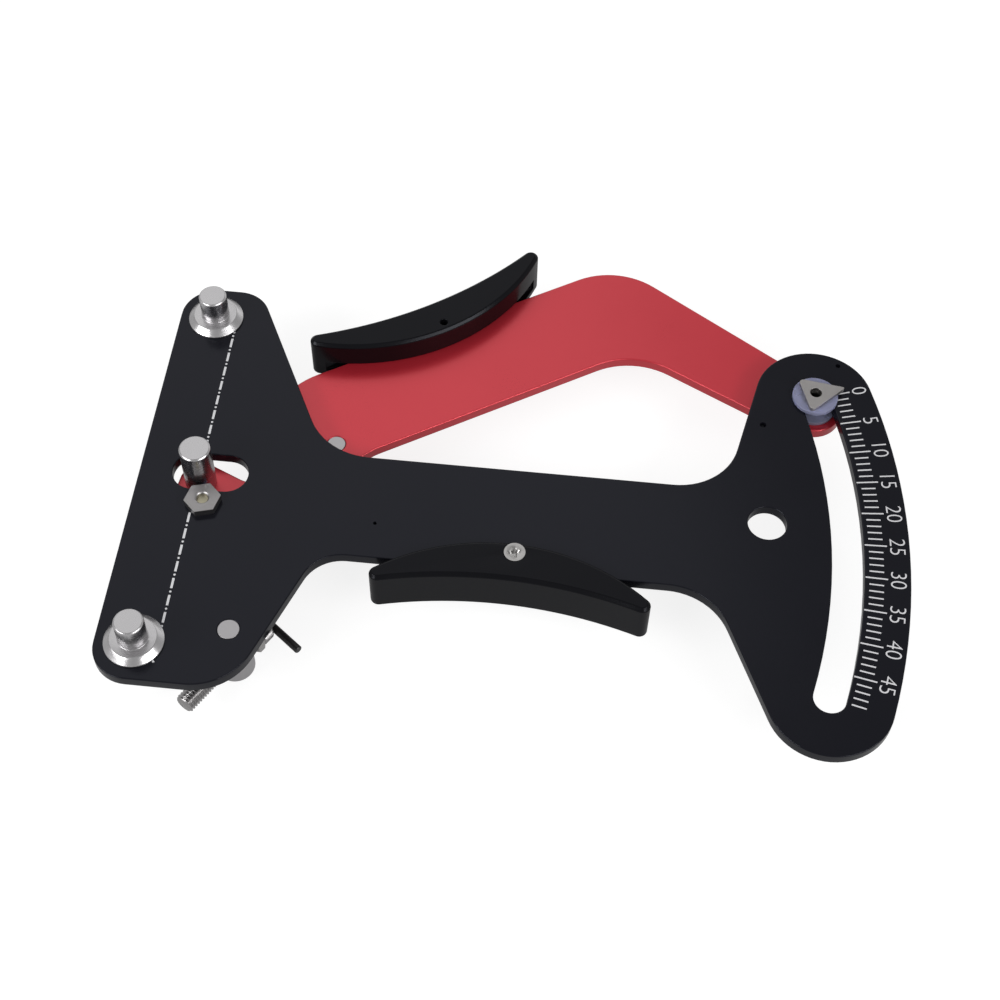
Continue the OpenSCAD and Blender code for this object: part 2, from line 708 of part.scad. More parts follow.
module lever_spring_post() color(steel) at(lever_post_at) {
    collar_top = lever_leg_z - wire_d / 2 - spring_gap;
    end = collar_top - lever_collar_t;
    r = lever_post_d / 2;
    collar = lever_collar_d / 2;
    rotate_extrude() polygon([
        [0, lever_top], [lever_rivet_d / 2, lever_top], [lever_rivet_d / 2, lever_bottom],
        [r, lever_bottom], [r, collar_top], [collar, collar_top],
        [collar, end + edge_break], [collar - edge_break, end], [0, end]
    ]);
}

// ---- The pointer, and what carries it through the slot ----

module pointer() color(steel) difference() {
    tip = pointer_at + pointer_l * heading(scale_start);
    left = pointer_at + pointer_back * heading(scale_start + pointer_spread);
    right = pointer_at + pointer_back * heading(scale_start - pointer_spread);
    slab(concat(
        corner(right, tip, left, point_r),
        corner(tip, left, right, pointer_corner_r),
        corner(left, right, tip, pointer_corner_r)
    ), pointer_z, pointer_z + pointer_t);
    hole(pointer_at, pointer_screw_d + 2 * seat_fit, pointer_z, pointer_z + pointer_t);
}

module pointer_washer_upper() color(nylon)
    ring(pointer_at, slot_washer_d, pointer_screw_d + 2 * seat_fit, upper_washer_z, pointer_z);

module pointer_washer_lower() color(nylon)
    ring(pointer_at, slot_washer_d, pointer_screw_d + 2 * seat_fit,
        lever_top, lever_top + washer_t);

module pointer_sleeve() color(nylon)
    ring(pointer_at, slot_w - 2 * sleeve_play, pointer_screw_d + 2 * seat_fit,
        lever_top + washer_t, upper_washer_z);

module pointer_screw() color(bright) at(pointer_at, lever_bottom - pointer_head_h) difference() {
    cap_screw(pointer_screw_d, pointer_z + pointer_t - pointer_recess - lever_bottom,
        pointer_head_d, pointer_head_h);
    hex_socket(2, pointer_head_h * 0.7);
}

// ---- The grips ----

// The centre of the tip circle on the right, which touches both sides
tip_y = ((pow(grip_hollow_r + grip_tip_r, 2) - pow(grip_bulge_r - grip_tip_r, 2))
    / (-grip_bulge_r - hollow_y) + hollow_y - grip_bulge_r) / 2;
tip_x = sqrt(pow(grip_bulge_r - grip_tip_r, 2) - pow(tip_y + grip_bulge_r, 2));

// A crescent between the two sides, drawn in all round by inset, from the middle of the
// right tip. Both sides have as many steps, in the same number for all insets, so that
// points face each other across the crescent and from one inset to the next.
function crescent(inset) =
    let(
        bulge_a = atan2(tip_y + grip_bulge_r, tip_x),
        hollow_a = atan2(tip_y - hollow_y, tip_x),
        tip_a = (hollow_a - 180 + bulge_a) / 2,
        n = arc_steps(grip_bulge_r, 180 - 2 * bulge_a),
        m = arc_steps(grip_tip_r, bulge_a - tip_a),
        side = function(c, r, a0, a1, steps)
            [for (i = [0:steps - 1]) c + r * heading(a0 + (a1 - a0) * i / steps)]
    )
    concat(
        side([tip_x, tip_y], grip_tip_r - inset, tip_a, bulge_a, m),
        side([0, -grip_bulge_r], grip_bulge_r - inset, bulge_a, 180 - bulge_a, n),
        side([-tip_x, tip_y], grip_tip_r - inset, 180 - bulge_a, 360 - hollow_a, 2 * m),
        side([0, hollow_y], grip_hollow_r + inset, 180 - hollow_a, hollow_a, n),
        side([tip_x, tip_y], grip_tip_r - inset, hollow_a - 180, tip_a, m)
    );

module grip_blank(z0, z1) {
    levels = [
        [grip_chamfer, z0], [0, z0 + grip_chamfer], [0, z1 - grip_chamfer], [grip_chamfer, z1]
    ];
    polyhedron(
        [for (level = levels) each [for (p = crescent(level[0])) [p.x, p.y, level[1]]]],
        skin_faces(len(crescent(0)), len(levels))
    );
}

// The slot for the plate: its bottom runs parallel to the hollow side
module grip_slot(half) {
    reach = tip_x + grip_tip_r - grip_slot_end;
    difference() {
        translate([-reach, hollow_y + grip_hollow_r / 2, -half])
            cube([2 * reach, -hollow_y, 2 * half]);
        translate([0, hollow_y, -half - cut])
            cylinder(r = grip_hollow_r + grip_w - grip_reach - grip_fit, h = 2 * (half + cut));
    }
}

module grip(t) {
    half = t / 2 + grip_fit;
    top = half + grip_thin;
    bottom = -half - grip_thick;
    screw = [0, -grip_screw_inset];
    bore = grip_screw_d + 2 * seat_fit;
    difference() {
        grip_blank(bottom, top);
        grip_slot(half);
        hole(screw, pilot_d, bottom, top);
        at(screw, top - grip_screw_l) cylinder(d = bore, h = grip_screw_l + cut);
        mouth(screw, bore, (grip_head_d - grip_screw_d) / 2, top);
    }
}

module grip_screw(t) {
    top = t / 2 + grip_fit + grip_thin;
    r = grip_screw_d / 2;
    head = grip_head_d / 2;
    at([0, -grip_screw_inset], top) rotate_extrude() polygon([
        [0, 0], [head, 0], [r, r - head], [r, edge_break - grip_screw_l],
        [r - edge_break, -grip_screw_l], [0, -grip_screw_l]
    ]);
}

module leaning() at([0, hollow_y]) rotate(-grip_lean) at([0, -hollow_y]) children();

module on_neck() at(grip_lower_at, (plate_top + plate_bottom) / 2) leaning() children();

// The lever's grip is turned over, and bulges towards the leg's inner edge
module on_lever() at(grip_upper_at, (lever_top + lever_bottom) / 2)
    rotate([0, 180, lever_a - 180]) leaning() children();

module grip_lower() color(black) on_neck() grip(plate_t);

module grip_upper() color(black) on_lever() grip(lever_t);

module grip_screw_lower() color(bright) on_neck() grip_screw(plate_t);

module grip_screw_upper() color(bright) on_lever() grip_screw(lever_t);

body_plate();
lever_arm();
fixed_post_upper();
fixed_post_lower();
moving_post();
pivot_sleeve();
pivot_washer();
thrust_washer();
spring_hub();
pivot_screw_washer();
pivot_screw();
torsion_spring();
spring_anchor_post();
calibration_screw();
lock_nut();
lever_spring_post();
pointer();
pointer_washer_upper();
pointer_washer_lower();
pointer_sleeve();
pointer_screw();
grip_lower();
grip_upper();
grip_screw_lower();
grip_screw_upper();
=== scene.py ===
# %% [markdown]
# # A spoke tension meter
#
# The tool is two crossed plates on one pivot. The black plate carries two fixed posts and a
# printed scale, and the red lever carries a third post and the pointer. A spring under them
# pushes the third post against a spoke, and the pointer shows how far it gets.
#
# The solid parts come finished in shape from the CAD model. This script gives them what a
# CAD model leaves out: broken edges, threads, print, and the surfaces of the real metals and
# plastics.

# %% Load the solid parts
import json
import math

import bmesh
import bpy
from mathutils import Matrix, Vector

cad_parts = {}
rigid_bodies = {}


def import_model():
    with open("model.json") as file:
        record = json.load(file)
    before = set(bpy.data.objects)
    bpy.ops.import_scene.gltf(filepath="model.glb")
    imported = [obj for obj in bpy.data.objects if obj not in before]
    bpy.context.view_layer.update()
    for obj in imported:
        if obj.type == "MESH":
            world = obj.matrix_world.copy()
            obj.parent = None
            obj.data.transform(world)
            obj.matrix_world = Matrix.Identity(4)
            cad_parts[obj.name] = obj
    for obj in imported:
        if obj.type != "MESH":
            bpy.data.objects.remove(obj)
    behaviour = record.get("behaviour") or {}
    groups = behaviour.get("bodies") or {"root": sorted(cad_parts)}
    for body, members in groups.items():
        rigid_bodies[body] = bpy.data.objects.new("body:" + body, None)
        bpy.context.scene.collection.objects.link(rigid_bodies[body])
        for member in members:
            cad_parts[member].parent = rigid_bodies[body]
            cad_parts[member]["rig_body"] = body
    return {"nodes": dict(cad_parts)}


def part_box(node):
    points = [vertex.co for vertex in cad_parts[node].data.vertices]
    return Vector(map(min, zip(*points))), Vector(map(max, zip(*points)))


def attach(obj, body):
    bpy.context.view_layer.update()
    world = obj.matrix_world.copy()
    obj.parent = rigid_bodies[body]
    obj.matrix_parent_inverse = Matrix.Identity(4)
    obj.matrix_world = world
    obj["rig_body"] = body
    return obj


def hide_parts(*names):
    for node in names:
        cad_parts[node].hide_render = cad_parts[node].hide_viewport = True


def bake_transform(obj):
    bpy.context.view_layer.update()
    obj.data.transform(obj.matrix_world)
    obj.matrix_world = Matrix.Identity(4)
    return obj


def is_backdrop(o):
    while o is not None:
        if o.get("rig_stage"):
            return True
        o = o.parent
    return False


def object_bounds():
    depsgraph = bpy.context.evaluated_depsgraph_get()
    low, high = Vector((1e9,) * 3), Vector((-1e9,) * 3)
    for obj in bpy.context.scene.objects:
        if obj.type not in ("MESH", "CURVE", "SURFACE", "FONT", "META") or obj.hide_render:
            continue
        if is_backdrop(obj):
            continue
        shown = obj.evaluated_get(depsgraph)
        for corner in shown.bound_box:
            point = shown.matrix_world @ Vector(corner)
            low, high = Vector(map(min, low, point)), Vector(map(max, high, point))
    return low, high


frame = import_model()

nodes = frame["nodes"]
cad_box = [list(corner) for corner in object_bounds()]

# %% [markdown]
# ## The camera
#
# The camera comes first, because every later choice of detail depends on how large a thing
# is in the picture. Its place was worked out from points that can be found both on the plate
# and in the photograph. It is set from three directions of its own, so that its slight roll
# comes with it, where a constraint that aims at a target would leave the roll out.

# %% Place the camera
MM = 0.001

def mm(x, y, z):
    """A place in the drawing's millimetres, as metres."""
    return Vector((x, y, z)) * MM

camera_data = bpy.data.cameras.new("camera")
camera_data.lens = 63.24
camera_data.clip_start = 0.01
camera_data.clip_end = 20
camera = bpy.data.objects.new("camera", camera_data)
bpy.context.scene.collection.objects.link(camera)
right = Vector((0.99492, 0.09966, 0.01446))
up = Vector((-0.08977, 0.81259, 0.57588))
back = Vector((0.04564, -0.57425, 0.81741))
turn = Matrix((right, up, back)).transposed()
camera.matrix_world = Matrix.LocRotScale(mm(96.03, -249.89, 351.91), turn.to_quaternion(), None)
bpy.context.scene.camera = camera
bpy.context.scene.view_settings.view_transform = "Standard"
print("camera at", [round(v, 4) for v in camera.location])

# %% [markdown]
# ## Shader maths in plain Python
#
# A material is a graph of nodes, and long chains of Math nodes are hard to read when they
# are wired by hand. The class below wraps one output of such a graph. Python's operators on
# it add the Math nodes, so `0.3 + 0.1 * grain` is what it says. One method adds any other
# node: its settings first, such as the operation of a Vector Math node, because they decide
# which sockets it has, and then what goes into those sockets. Geometry trees have the same
# nodes for numbers, so the class serves them as well.

# %% A wire of a node tree
class Wire:
    """One output in a node tree. Arithmetic on it adds Math nodes to the tree."""

    def __init__(self, tree, socket=None):
        self.tree = tree
        self.socket = socket

    def node(self, kind, settings=None, inputs=None, output=0):
        """Adds any node: its settings first, then the values or links of its sockets."""
        made = self.tree.nodes.new(kind)
        for name, value in (settings or {}).items():
            setattr(made, name, value)
        for name, value in (inputs or {}).items():
            for one in value if isinstance(value, list) else [value]:
                if isinstance(one, Wire):
                    self.tree.links.new(one.socket, made.inputs[name])
                else:
                    made.inputs[name].default_value = one
        return Wire(self.tree, made.outputs[output])

    def math(self, operation, *values):
        return self.node("ShaderNodeMath", {"operation": operation}, dict(enumerate(values)))

    def __add__(self, other):
        return self.math("ADD", self, other)

    __radd__ = __add__

    def __sub__(self, other):
        return self.math("SUBTRACT", self, other)

    def __rsub__(self, other):
        return self.math("SUBTRACT", other, self)

    def __mul__(self, other):
        return self.math("MULTIPLY", self, other)

    __rmul__ = __mul__

    def __truediv__(self, other):
        return self.math("DIVIDE", self, other)

    def __rtruediv__(self, other):
        return self.math("DIVIDE", other, self)

    def __mod__(self, other):
        return self.math("MODULO", self, other)

# %% [markdown]
# ## Finishes
#
# Every finish starts in the same way: a Principled shader with what is the same all over set
# on its sockets, and the object's own coordinates, in metres, as the place to look patterns
# up. The parts are never moved from where they were drawn, so the pattern stays on the metal
# when the tool opens and closes.

# %% Start a finish
def new_finish(name, constants):
    """A material with these values on its shader, and a wire with the place on the object."""
    material = bpy.data.materials.new(name)
    material.use_nodes = True
    shader = material.node_tree.nodes["Principled BSDF"]
    for socket, value in constants.items():
        shader.inputs[socket].default_value = value
    place = Wire(material.node_tree).node("ShaderNodeTexCoord", output="Object")
    return material, place

def feed(material, socket, wire):
    """Links a wire to one socket of the material's shader."""
    shader = material.node_tree.nodes["Principled BSDF"]
    wire.tree.links.new(wire.socket, shader.inputs[socket])

def noise(place, scale, detail=2.0, roughness=0.5):
    """Noise from 0 to 1, with so many grains to the metre."""
    return place.node("ShaderNodeTexNoise", None,
        {"Vector": place, "Scale": scale, "Detail": detail, "Roughness": roughness})

def blended(mask, low, high):
    """A colour between two, by a mask from 0 to 1."""
    return mask.node("ShaderNodeMix", {"data_type": "RGBA"},
        {0: mask, 6: (*low, 1), 7: (*high, 1)}, output=2)

def bump(height, depth):
    """A normal from a height between 0 and 1 that stands for that depth in metres."""
    return height.node("ShaderNodeBump", None,
        {"Height": height, "Distance": depth, "Strength": 1.0})

# %% [markdown]
# ### Anodised plates
#
# Both plates are aluminium that was blasted with fine grit, dyed and sealed. The black dye
# covers the metal like a satin paint, so its shader is a dark dielectric. The red dye is
# clear, and the metal shines through it, so its shader is a tinted metal under a clear coat,
# which stands for the sealed skin of oxide. Both have the fine grain of the blasting, about
# a fifth of a millimetre wide, and a faint cloud from the dye bath, a few centimetres wide. A
# noise texture has its scale in grains per metre here, because the coordinates are metres.

# %% Anodised finishes
def anodised(name, dark, light, roughness, constants):
    material, place = new_finish(name, constants)
    cloud = noise(place, 38, 3)
    grain = noise(place, 5200, 2)
    feed(material, "Base Color", blended(cloud, dark, light))
    feed(material, "Roughness", roughness + 0.08 * (cloud - 0.5) + 0.1 * (grain - 0.5))
    feed(material, "Normal", bump(grain, 0.000006))
    return material

black_anodised = anodised("black_anodised", (0.0040, 0.0040, 0.0065), (0.0060, 0.0060, 0.0090),
    0.17, {"Specular IOR Level": 0.28, "Specular Tint": (0.84, 0.87, 1.0, 1.0)})
red_anodised = anodised("red_anodised", (0.64, 0.024, 0.042), (0.72, 0.034, 0.054),
    0.30, {"Metallic": 0.55, "Coat Weight": 0.6, "Coat Roughness": 0.22, "Coat IOR": 1.6})
print("plates:", black_anodised.name, red_anodised.name)

# %% [markdown]
# ### Turned and plated steel
#
# A lathe leaves rings on a part, round its axis. On a flat end they show as circles and
# along a stem as fine steps. One number serves both: the distance from the axis plus the
# height, put through a noise of one dimension. A wave texture would also make rings, but all
# of one width, and a lathe's are never so even. Each turned part has its own axis, so each
# has its own copy of the finish. Screws and nuts are plated, which hides the rings, so their
# finish has only patches and a grain.

# %% Steel finishes
def turned_steel(name, axis, tint=(0.59, 0.58, 0.59), roughness=0.23):
    material, place = new_finish(name, {"Metallic": 1.0})
    across = place.node("ShaderNodeVectorMath", {"operation": "SUBTRACT"},
        {0: place, 1: (axis.x, axis.y, 0)})
    x = across.node("ShaderNodeSeparateXYZ", None, {0: across}, output="X")
    y = across.node("ShaderNodeSeparateXYZ", None, {0: across}, output="Y")
    z = across.node("ShaderNodeSeparateXYZ", None, {0: across}, output="Z")
    radius = across.math("SQRT", x * x + y * y)
    rings = across.node("ShaderNodeTexNoise", {"noise_dimensions": "1D"},
        {"W": radius + z, "Scale": 3200, "Detail": 2})
    wear = noise(place, 400, 2)
    pale = [1.08 * c for c in tint]
    feed(material, "Base Color", blended(wear, tint, pale))
    feed(material, "Roughness", roughness + 0.07 * rings + 0.06 * (wear - 0.5))
    feed(material, "Normal", bump(rings, 0.0000008))
    return material

def plated_steel(name, tint=(0.56, 0.55, 0.54), roughness=0.22):
    material, place = new_finish(name, {"Metallic": 1.0})
    patch = noise(place, 600, 2)
    grain = noise(place, 5000, 2)
    feed(material, "Base Color", blended(patch, [0.9 * c for c in tint], tint))
    feed(material, "Roughness", roughness + 0.12 * patch)
    feed(material, "Normal", bump(grain, 0.000002))
    return material

def axis_of(node):
    """The middle of a solid part, which is a turned part's axis seen from above."""
    low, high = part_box(node)
    return (low + high) / 2

bright_screws = plated_steel("plated_screws")
locked_screw = plated_steel("plated_screw_with_thread_lock", (0.62, 0.58, 0.42))
thread_steel = plated_steel("threaded_screw_steel", (0.44, 0.43, 0.43))
print("steel finishes ready, one more for each turned part as it is made")

# %% [markdown]
# ### Plastics, spring wire and print
#
# The grips are black moulded plastic with the fine spark texture of their mould. The
# washers are a milky plastic that lets some light through. The spring is drawn wire with an
# oiled black surface. Its draw marks follow the wire round the coil, where marks by place
# would cut across it, so that finish reads the wire's own UV map. The marks on the plate are
# white ink, a little uneven as a screen leaves it.

# %% Plastic, wire and ink finishes
def moulded_plastic():
    material, place = new_finish("black_moulding", {"Specular IOR Level": 0.16,
        "Specular Tint": (0.88, 0.90, 1.0, 1.0)})
    spark = noise(place, 3600, 2)
    flow = noise(place, 90, 2)
    feed(material, "Base Color", blended(flow, (0.003, 0.003, 0.004), (0.0045, 0.0045, 0.0055)))
    feed(material, "Roughness", 0.23 + 0.08 * (spark - 0.5) + 0.06 * (flow - 0.5))
    feed(material, "Normal", bump(spark, 0.000004))
    return material

def milky_plastic():
    material, place = new_finish("nylon", {"Transmission Weight": 0.66, "IOR": 1.45})
    haze = noise(place, 240, 2)
    feed(material, "Base Color", blended(haze, (0.56, 0.59, 0.86), (0.63, 0.65, 0.90)))
    feed(material, "Roughness", 0.24 + 0.08 * haze)
    feed(material, "Normal", bump(haze, 0.000001))
    return material

def oiled_wire():
    material, place = new_finish("spring_wire", {"Specular IOR Level": 0.6})
    strip = place.node("ShaderNodeUVMap", {"uv_map": "along"})
    stretched = place.node("ShaderNodeMapping", None, {"Vector": strip, "Scale": (40, 120, 1)})
    draw_marks = noise(stretched, 1.0, 3)
    oil = noise(place, 260, 2)
    feed(material, "Base Color", blended(oil, (0.009, 0.009, 0.010), (0.020, 0.019, 0.019)))
    feed(material, "Roughness", 0.24 + 0.16 * oil)
    feed(material, "Normal", bump(draw_marks, 0.000006))
    return material

def white_ink():
    material, place = new_finish("white_ink", {"Specular IOR Level": 0.4})
    speckle = noise(place, 4200, 2)
    feed(material, "Base Color", blended(speckle, (0.66, 0.66, 0.68), (0.82, 0.82, 0.84)))
    feed(material, "Roughness", 0.5 + 0.2 * speckle)
    return material

black_moulding, nylon = moulded_plastic(), milky_plastic()
spring_wire, ink = oiled_wire(), white_ink()
print("plastics, wire and ink:", black_moulding.name, nylon.name, spring_wire.name, ink.name)

# %% [markdown]
# ## Meshes of our own
#
# A CAD mesh is loose triangles with knife edges. Real edges are broken, and the thin line
# of light along them is most of what makes a part look solid. So a visible part gets a copy
# of its mesh, with the triangles joined into whole faces, and a Bevel modifier on every
# edge that turns by more than 30 degrees. A shader can fake such an edge with a Bevel node,
# but the fake is lost when the model leaves Blender. The modifier hardens its normals, so
# flat faces stay flat right up to it.

# %% Copy a part with broken edges
def new_piece(name, mesh, finish=None):
    """An object for a mesh, in the scene, with one finish if it is given."""
    piece = bpy.data.objects.new(name, mesh)
    bpy.context.scene.collection.objects.link(piece)
    if finish:
        mesh.materials.clear()
        mesh.materials.append(finish)
    return piece

def finished_mesh(piece):
    """The mesh of a piece after its modifiers."""
    bpy.context.view_layer.update()
    seen = piece.evaluated_get(bpy.context.evaluated_depsgraph_get())
    return bpy.data.meshes.new_from_object(seen)

def settle(piece):
    """Puts what the modifiers made into the piece's own mesh, and removes them."""
    mesh = finished_mesh(piece)
    piece.modifiers.clear()
    piece.data = mesh
    return piece

def smooth(mesh, angle=30):
    """Shades the mesh smooth, but for the edges that turn by more than the angle."""
    mesh.shade_smooth()
    mesh.set_sharp_from_angle(angle=math.radians(angle))

def joined_copy(node):
    """A CAD part's mesh with its triangles joined, and each flat face made whole."""
    mesh = nodes[node].data.copy()
    shape = bmesh.new()
    shape.from_mesh(mesh)
    bmesh.ops.remove_doubles(shape, verts=shape.verts, dist=1e-6)
    bmesh.ops.dissolve_limit(shape, angle_limit=math.radians(0.4),
        verts=shape.verts, edges=shape.edges)
    shape.to_mesh(mesh)
    shape.free()
    return mesh

def break_edges(piece, width, segments=3):
    """Rounds the sharp edges of a piece over a width in millimetres."""
    smooth(piece.data)
    bevel = piece.modifiers.new("broken edges", "BEVEL")
    bevel.width = width * MM
    bevel.segments = segments
    bevel.limit_method = "ANGLE"
    bevel.angle_limit = math.radians(30)
    bevel.use_clamp_overlap = False
    bevel.harden_normals = True
    return settle(piece)

def carve(piece, cutter):
    """Cuts one piece out of another, and removes the cutter."""
    cut = piece.modifiers.new("cut", "BOOLEAN")
    cut.operation = "DIFFERENCE"
    cut.solver = "EXACT"
    cut.object = cutter
    settle(piece)
    bpy.data.objects.remove(cutter)
    return piece

def even_out(piece):
    """Lets large faces set the normals that they share with small ones, so flat stays flat."""
    smooth(piece.data)
    evened = piece.modifiers.new("even normals", "WEIGHTED_NORMAL")
    evened.keep_sharp = True
    return settle(piece)

def stand_for(piece, node):
    """The piece rides where the CAD part did, and is shown in its place."""
    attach(piece, nodes[node]["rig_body"])
    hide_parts(node)
    print(f"{piece.name}: {len(piece.data.polygons)} faces in place of {node}")
    return piece

def dressed(node, width, finish):
    """A copy of a CAD part with broken edges and a finish."""
    piece = new_piece(node + "_finished", joined_copy(node), finish)
    return stand_for(break_edges(piece, width), node)

# %% [markdown]
# ## The plates
#
# The plates are laser cut and then tumbled, which rounds their edges by a few tenths of a
# millimetre. The black plate also has three small pits where it hung on the rack in the dye
# bath. They are real holes here, cut with short cones, because a painted dot would not
# catch the light. A Boolean modifier does the cut, and it needs a closed cutter, so a small
# helper turns a profile into one. The cut drops the hardened normals, so they are worked out
# anew after it, with each face's area as its weight.

# %% A turned solid
def spun(name, profile, axis, sides=48):
    """A turned solid from a profile of radius and height, in millimetres, round an axis."""
    shape = bmesh.new()
    rings = []
    for r, z in profile:
        if r == 0:
            rings.append([shape.verts.new(mm(axis.x, axis.y, z))])
            continue
        rings.append([
            shape.verts.new(mm(axis.x + r * math.cos(a), axis.y + r * math.sin(a), z))
            for a in (2 * math.pi * k / sides for k in range(sides))
        ])
    for low, high in zip(rings, rings[1:]):
        for k in range(sides):
            n = (k + 1) % sides
            corners = [low[k % len(low)], low[n % len(low)],
                high[n % len(high)], high[k % len(high)]]
            shape.faces.new(list(dict.fromkeys(corners)))
    bmesh.ops.recalc_face_normals(shape, faces=shape.faces)
    mesh = bpy.data.meshes.new(name)
    shape.to_mesh(mesh)
    shape.free()
    smooth(mesh)
    return new_piece(name, mesh)

# %% Plates with broken edges and rack marks
PITS = [(46.5, -10.8, 0.5), (140.7, 30.2, 0.85), (160.0, 51.9, 0.65)]
PROUD = 0.15

plate_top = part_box("body_plate")[1].z / MM
body = new_piece("body_plate_finished", joined_copy("body_plate"), black_anodised)
break_edges(body, 0.3)
for x, y, radius in PITS:
    pit = [(0, plate_top - 1.3), (0.9 * radius, plate_top - 1.0),
        (radius, plate_top + PROUD), (0, plate_top + PROUD)]
    carve(body, spun("pit", pit, Vector((x, y, 0)), 16))
even_out(body)
stand_for(body, "body_plate")
dressed("lever_arm", 0.4, red_anodised)

# %% [markdown]
# ## Turned posts and the pivot
#
# The spoke slides on the three posts, so they are turned and polished, with only a hint of
# an edge break: a wide bevel would make them look cast. The riveted posts of the spring and
# the pivot's sleeve are left duller. Each gets the turned finish round its own axis, and the
# pointer, which is cut from sheet, the plated one.

# %% Posts, pivot and hub
for node in ("fixed_post_upper", "fixed_post_lower", "moving_post", "spring_hub"):
    dressed(node, 0.15, turned_steel(node + "_steel", axis_of(node)))

for node in ("spring_anchor_post", "lever_spring_post"):
    dull = turned_steel(node + "_steel", axis_of(node), (0.50, 0.49, 0.50), 0.30)
    dressed(node, 0.12, dull)

sleeve_steel = turned_steel("pivot_sleeve_steel", axis_of("pivot_sleeve"),
    (0.36, 0.35, 0.35), 0.32)
dressed("pivot_sleeve", 0.08, sleeve_steel)
sheet_steel = plated_steel("pointer_steel", (0.54, 0.52, 0.51), 0.32)
dressed("pointer", 0.1, sheet_steel)

# %% [markdown]
# ## Grips
#
# The grips are moulded crescents with a chamfer all round, pushed over the edge of a plate.
# A subdivision surface would round them too, but it would need a loop of support beside
# every edge of the slot. The solid has the chamfer already, so a bevel of a quarter of a
# millimetre is enough for the softness of a moulded edge.

# %% Grips
for node in ("grip_lower", "grip_upper"):
    dressed(node, 0.25, black_moulding)

# %% [markdown]
# ## Small screws
#
# The grips are held by countersunk screws with a cross recess. Two crossed boxes would make
# a cutter for it, but with straight walls and faces inside each other. The recess here is a
# lofted cross, wide at the head's face and narrow below, whose outline goes through twelve
# points, so the cutter is one clean solid. A Boolean cuts it out of a copy of the screw.

# %% A tapered cross
RECESS = [(-0.2, 1.8, 0.50), (0.0, 1.7, 0.47), (1.3, 0.9, 0.25)]

def cross_cutter(name, centre, top, down):
    """A tapered cross: top is the height of the head's face and down is -1 or 1 into it."""
    shape = bmesh.new()
    rings = []
    for depth, reach, half in RECESS:
        outline = []
        for quarter in range(4):
            spin = Matrix.Rotation(math.radians(90 * quarter + 12), 2)
            outline += [spin @ Vector(p) for p in [(reach, -half), (reach, half), (half, half)]]
        rings.append([
            shape.verts.new((centre.x + p.x * MM, centre.y + p.y * MM, top + down * depth * MM))
            for p in outline
        ])
    for low, high in zip(rings, rings[1:]):
        for k in range(12):
            n = (k + 1) % 12
            shape.faces.new([low[k], low[n], high[n], high[k]])
    shape.faces.new(rings[0])
    shape.faces.new(rings[-1])
    bmesh.ops.recalc_face_normals(shape, faces=shape.faces)
    mesh = bpy.data.meshes.new(name)
    shape.to_mesh(mesh)
    shape.free()
    return new_piece(name, mesh)

# %% Cross recesses in the grip screws
for node, faces_up in [("grip_screw_lower", True), ("grip_screw_upper", False)]:
    low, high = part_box(node)
    screw = new_piece(node + "_finished", joined_copy(node), bright_screws)
    break_edges(screw, 0.08, 2)
    face, down = (high.z, -1) if faces_up else (low.z, 1)
    carve(screw, cross_cutter("recess", (low + high) / 2, face, down))
    even_out(screw)
    stand_for(screw, node)

# %% The other small fasteners
for node, finish in [("pivot_screw", locked_screw), ("pivot_screw_washer", bright_screws),
        ("lock_nut", bright_screws)]:
    dressed(node, 0.08, finish)

# %% [markdown]
# The pointer's screw comes up from below and ends in a cup, as such screws do, so from above
# it looks like an open dark hole in the pointer. The cup is cut with a turned solid, and the
# whole screw is coloured nearly black, painted shade that keeps the hole dark.

# %% Cup in the end of the pointer's screw
low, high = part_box("pointer_screw")
cup_rim = high.z / MM
cup = [(0, cup_rim + 0.3), (1.2, cup_rim + 0.3), (1.2, cup_rim - 2.6), (0, cup_rim - 3.4)]
# Nearly black steel for the whole screw: painted shade for the dark hole in the pointer.
screw_dark_as_shade = plated_steel("pointer_screw_steel", (0.10, 0.095, 0.09), 0.30)
pointer_screw = new_piece("pointer_screw_finished", joined_copy("pointer_screw"), screw_dark_as_shade)
break_edges(pointer_screw, 0.05, 2)
carve(pointer_screw, spun("cup", cup, (low + high) / 2 / MM, 32))
even_out(pointer_screw)
stand_for(pointer_screw, "pointer_screw")

# %% [markdown]
# ## Geometry Nodes for what follows a rule
#
# The screw thread, the knurl and the printed marks each follow a rule with a few numbers,
# which is what Geometry Nodes are for: the numbers are named inputs of a tree, and the tree
# makes the shape. The helpers below make a tree, run it with given values and keep the result
# as a plain mesh, because only plain meshes leave Blender whole.

# %% Build and run a geometry tree
def new_tree(name, inputs):
    """An empty geometry tree with these named inputs, and a wire for each of them."""
    tree = bpy.data.node_groups.new(name, "GeometryNodeTree")
    tree.interface.new_socket("Geometry", in_out="OUTPUT", socket_type="NodeSocketGeometry")
    for label, kind in inputs.items():
        tree.interface.new_socket(label, in_out="INPUT", socket_type="NodeSocket" + kind)
    entry = tree.nodes.new("NodeGroupInput")
    return tree, {label: Wire(tree, entry.outputs[label]) for label in inputs}

def close_tree(geometry, finish):
    """Realizes what the tree made, gives it its material and sends it out."""
    real = geometry.node("GeometryNodeRealizeInstances", None, {0: geometry})
    coated = real.node("GeometryNodeSetMaterial", None, {"Geometry": real, "Material": finish})
    exit_node = geometry.tree.nodes.new("NodeGroupOutput")
    geometry.tree.links.new(coated.socket, exit_node.inputs[0])

def run_tree(name, tree, values):
    """A piece whose mesh is what the tree makes of these values."""
    host = new_piece(name, bpy.data.meshes.new(name))
    modifier = host.modifiers.new("tree", "NODES")
    modifier.node_group = tree
    for item in tree.interface.items_tree:
        if item.in_out == "INPUT":
            modifier[item.identifier] = values[item.name]
    return settle(host)

